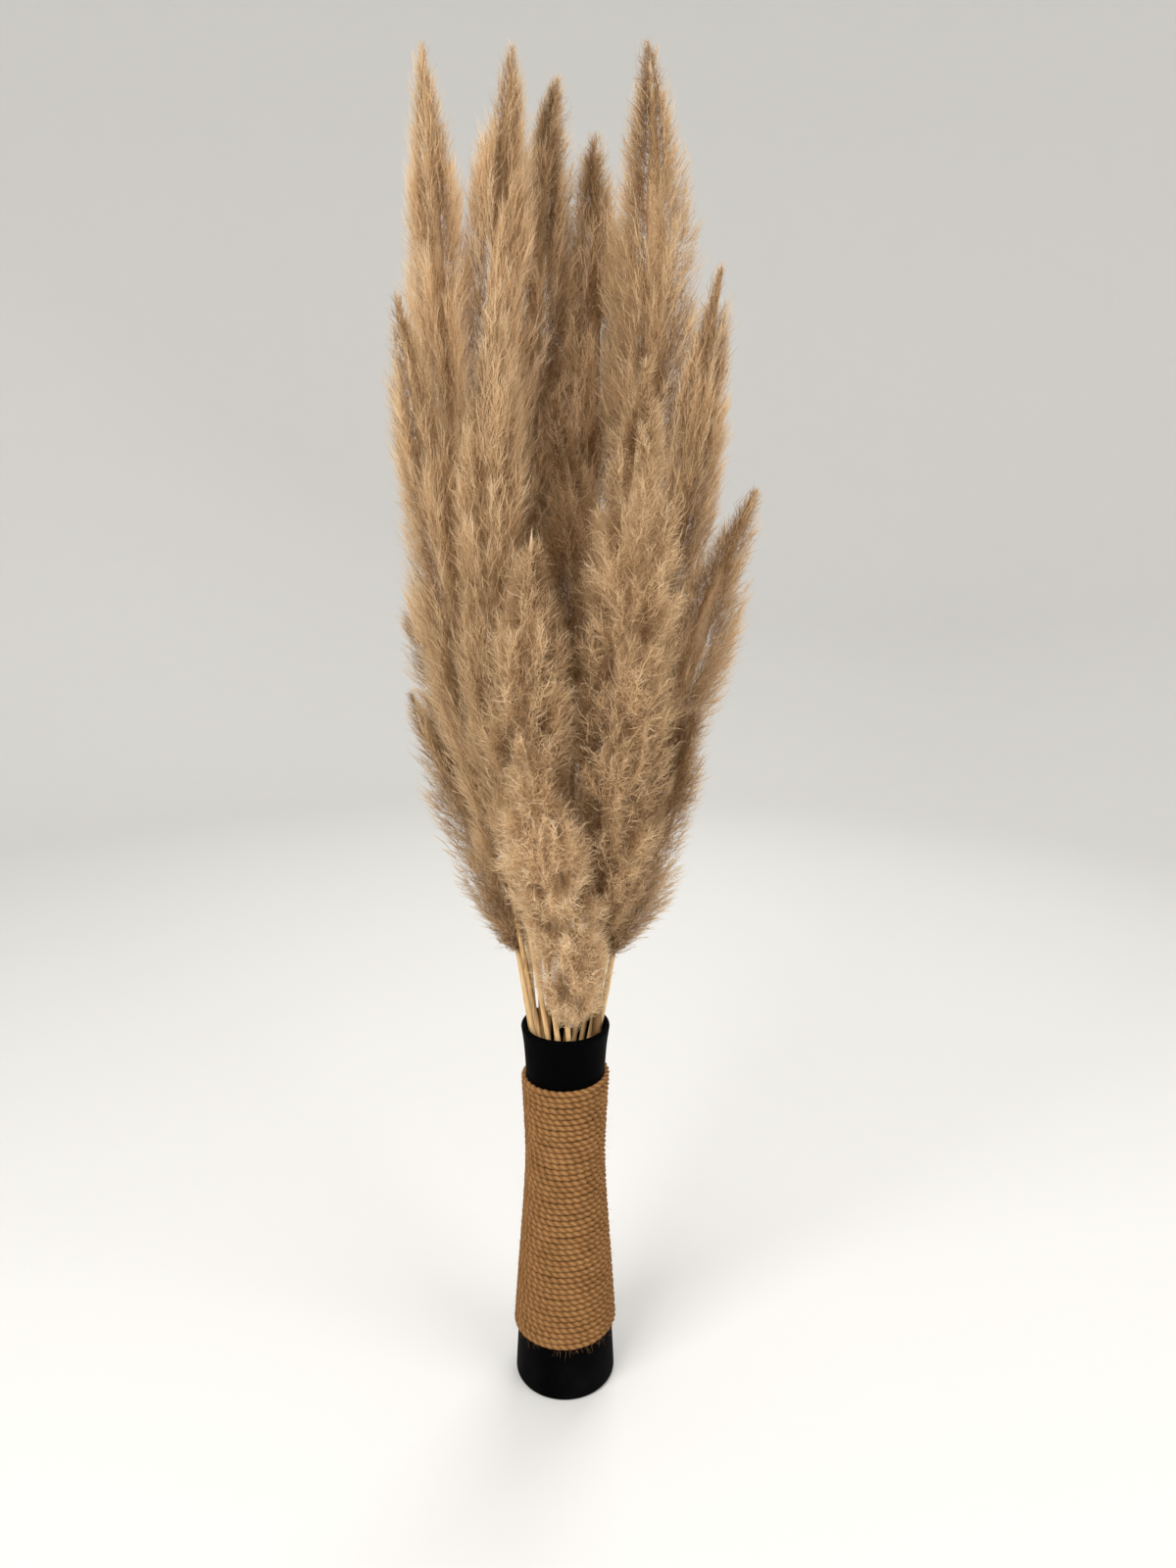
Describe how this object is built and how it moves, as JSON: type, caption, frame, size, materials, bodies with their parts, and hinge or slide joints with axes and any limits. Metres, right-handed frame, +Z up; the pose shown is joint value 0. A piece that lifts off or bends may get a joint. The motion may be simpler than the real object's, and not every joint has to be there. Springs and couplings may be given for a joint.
{
  "type": "vase of pampas grass",
  "caption": "Tall waisted floor vase of matte black ceramic, wound with jute rope, holding a full bunch of dried pampas grass plumes on straw stems.",
  "frame": {"origin": "middle of the vase's flat underside, on the vase's axis", "axes": "+Z up along the vase's axis, -Y the front that the picture shows, +X to the viewer's right"},
  "size_m": [0.4828, 0.4036, 1.873],
  "materials": {
    "black_ceramic": "matte black, slightly dusty",
    "jute_rope": "coarse twisted fibre",
    "straw_stem": "dry cane, satin",
    "plume_fluff": "dry feathery fluff"
  },
  "bodies": {
    "root": {"vase": "black_ceramic", "rope_wrap": "jute_rope", "stem_01": "straw_stem", "stem_02": "straw_stem", "stem_03": "straw_stem", "stem_04": "straw_stem", "stem_05": "straw_stem", "stem_06": "straw_stem", "stem_07": "straw_stem", "stem_08": "straw_stem", "stem_09": "straw_stem", "stem_10": "straw_stem", "stem_11": "straw_stem", "stem_12": "straw_stem", "stem_13": "straw_stem", "stem_14": "straw_stem", "stem_15": "straw_stem", "stem_16": "straw_stem", "stem_17": "straw_stem", "plume_01": "plume_fluff", "plume_02": "plume_fluff", "plume_03": "plume_fluff", "plume_04": "plume_fluff", "plume_05": "plume_fluff", "plume_06": "plume_fluff", "plume_07": "plume_fluff", "plume_08": "plume_fluff", "plume_09": "plume_fluff", "plume_10": "plume_fluff", "plume_11": "plume_fluff", "plume_12": "plume_fluff", "plume_13": "plume_fluff", "plume_14": "plume_fluff", "plume_15": "plume_fluff", "plume_16": "plume_fluff", "plume_17": "plume_fluff"}
  },
  "joints": []
}
